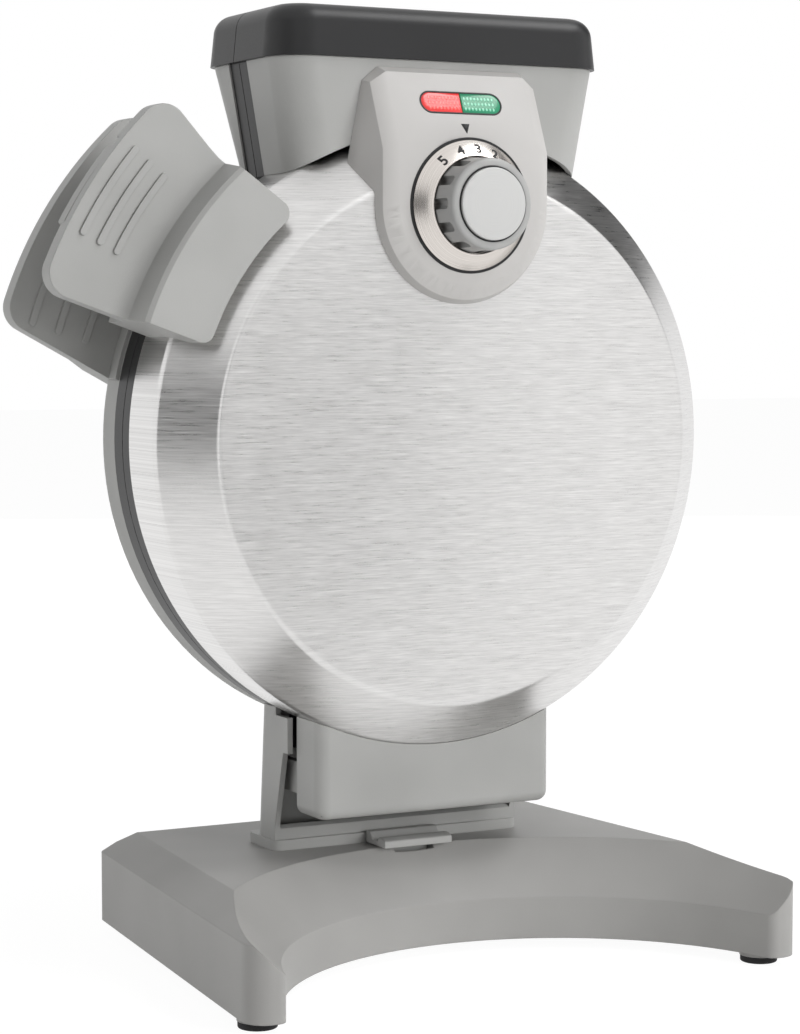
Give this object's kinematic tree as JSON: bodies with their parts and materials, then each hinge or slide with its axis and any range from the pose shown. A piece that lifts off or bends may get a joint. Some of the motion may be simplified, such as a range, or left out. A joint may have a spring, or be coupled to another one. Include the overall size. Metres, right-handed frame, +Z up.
{
  "type": "vertical waffle maker",
  "caption": "Upright round waffle maker on an arched stand, with a hinged cooking half, pour spout, side grips with a latch and a turning browning dial.",
  "frame": {"origin": "middle of the object's box in plan, on the table", "axes": "+Z up, the lid and dial face -Y, the grips are on the -X side, the hinge pin lies along X"},
  "size_m": [0.2668, 0.183, 0.352],
  "materials": {
    "grey_plastic": "satin moulded",
    "dark_plastic": "semi-gloss moulded",
    "brushed_steel": "horizontally brushed",
    "coated_plate": "die cast with dark non-stick coating",
    "dark_metal": "dark coated metal",
    "sheet_aluminium": "mill sheet",
    "plated_steel": "zinc plated",
    "rubber": "matt",
    "red_lens": "translucent dotted",
    "green_lens": "translucent dotted",
    "circuit_board": "solder mask"
  },
  "bodies": {
    "stand": {"base_cover": "grey_plastic", "bottom_plate": "grey_plastic", "rubber_feet": "rubber", "base_screws": "plated_steel", "cord_gland": "dark_plastic", "terminal_block": "dark_plastic", "tab_spring": "plated_steel", "neck": "grey_plastic", "neck_screws": "plated_steel", "hinge_pin": "plated_steel", "rear_shell": "grey_plastic", "rear_liner": "dark_plastic", "rear_grip": "grey_plastic", "rear_grip_screws": "plated_steel", "latch_strike": "plated_steel", "thermal_fuse": "plated_steel", "rear_spout_housing": "grey_plastic", "rear_spout_funnel": "dark_plastic", "rear_spout_cap": "dark_plastic", "rear_waffle_plate": "coated_plate", "rear_heating_element": "dark_metal", "rear_element_clips": "sheet_aluminium", "rear_reflector": "sheet_aluminium", "rear_reflector_screws": "plated_steel"},
    "lid": {"front_shell": "brushed_steel", "front_liner": "dark_plastic", "front_waffle_plate": "coated_plate", "front_heating_element": "dark_metal", "front_element_clips": "sheet_aluminium", "front_reflector": "sheet_aluminium", "front_reflector_screws": "plated_steel", "front_spout_housing": "grey_plastic", "front_spout_funnel": "dark_plastic", "front_spout_cap": "dark_plastic", "front_grip": "grey_plastic", "front_grip_screws": "plated_steel", "latch_pin": "plated_steel", "hinge_arm": "dark_metal", "arm_screws": "plated_steel", "hinge_block": "grey_plastic", "control_pod": "grey_plastic", "pod_screws": "plated_steel", "window_bezel": "dark_plastic", "red_lens": "red_lens", "green_lens": "green_lens", "indicator_board": "circuit_board", "thermostat": "plated_steel", "thermostat_nut": "plated_steel"},
    "latch": {"latch_trigger": "grey_plastic", "latch_spring": "plated_steel"},
    "control": {"dial_ring": "brushed_steel", "knob": "grey_plastic", "knob_trim": "dark_plastic", "knob_cap": "brushed_steel", "control_shaft": "plated_steel"},
    "release": {"release_tab": "grey_plastic"}
  },
  "joints": [
    {"name": "lid_hinge", "type": "hinge", "parent": "stand", "child": "lid", "pos_m": [0.0194, 0.0063, 0.068], "axis": [1, 0, 0], "range_deg": [0, 90]},
    {"name": "latch_pivot", "type": "hinge", "parent": "lid", "child": "latch", "pos_m": [-0.08279, -0.0067, 0.26488], "axis": [0.5664, 0, 0.8241], "range_deg": [0, 5], "stiffness_Nm_per_rad": 1.5, "springref_deg": -2.86},
    {"name": "control_turn", "type": "hinge", "parent": "lid", "child": "control", "pos_m": [0.0194, -0.0437, 0.2801], "axis": [0, 1, 0], "range_deg": [-46, 39.5]},
    {"name": "release_slide", "type": "slide", "parent": "stand", "child": "release", "axis": [0, -1, 0], "range_m": [0, 0.004], "stiffness_N_per_m": 400, "springref_m": -0.002}
  ]
}
